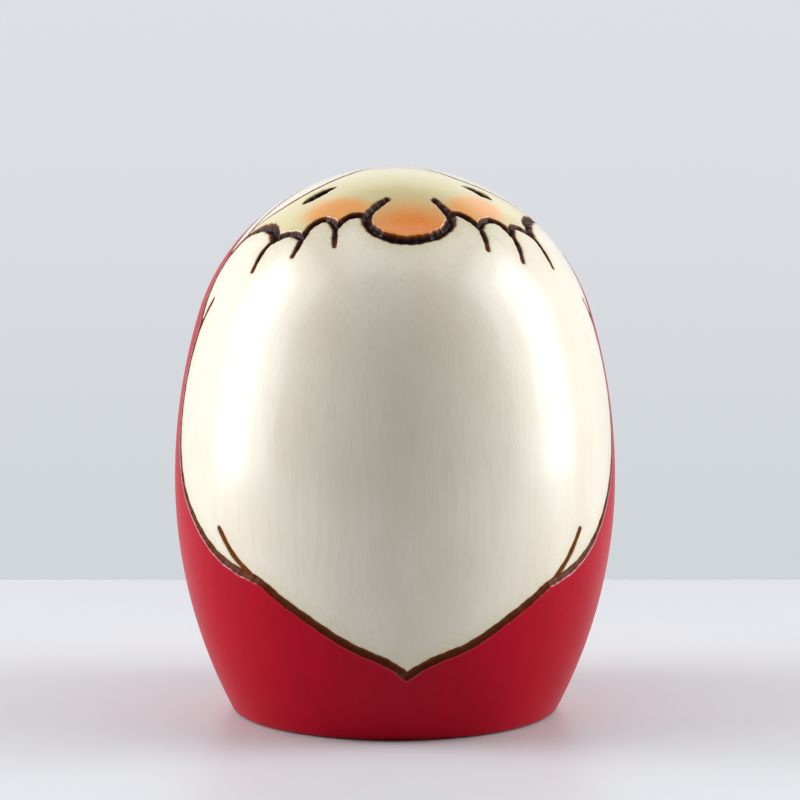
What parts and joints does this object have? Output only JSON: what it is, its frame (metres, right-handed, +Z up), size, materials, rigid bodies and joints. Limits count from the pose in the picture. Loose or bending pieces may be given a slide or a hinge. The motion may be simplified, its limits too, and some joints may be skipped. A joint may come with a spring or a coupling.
{
  "type": "daruma doll",
  "caption": "Small egg-shaped turned wooden doll with a flat base, a lacquered face, beard and robe, and burnt outlines, that stands on a shelf as an ornament.",
  "frame": {"origin": "centre of the flat base, on the surface that the doll stands on", "axes": "+Z up along the turning axis; the face and beard look along -Y"},
  "size_m": [0.06, 0.06, 0.0745],
  "materials": {
    "bare_wood": "clear varnished flank, raw base",
    "red_lacquer": "gloss lacquer",
    "white_lacquer": "gloss lacquer",
    "cream_lacquer": "gloss lacquer",
    "orange_lacquer": "gloss lacquer",
    "cheek_lacquer": "gloss lacquer, sprayed with a soft edge",
    "burnt_wood": "charred with a hot pen, then varnished",
    "black_ink": "gloss"
  },
  "bodies": {
    "root": {"wood_body": "bare_wood", "robe_coat": "red_lacquer", "beard_coat": "white_lacquer", "face_coat": "cream_lacquer", "nose_coat": "orange_lacquer", "left_cheek_coat": "cheek_lacquer", "right_cheek_coat": "cheek_lacquer", "left_brow_coat": "white_lacquer", "right_brow_coat": "white_lacquer", "hood_trim_coat": "white_lacquer", "nose_line": "burnt_wood", "left_moustache_line": "burnt_wood", "right_moustache_line": "burnt_wood", "left_beard_line": "burnt_wood", "right_beard_line": "burnt_wood", "left_brow_line": "burnt_wood", "right_brow_line": "burnt_wood", "face_edge_line": "burnt_wood", "hood_line": "burnt_wood", "left_eye_slit": "black_ink", "right_eye_slit": "black_ink"}
  },
  "joints": []
}
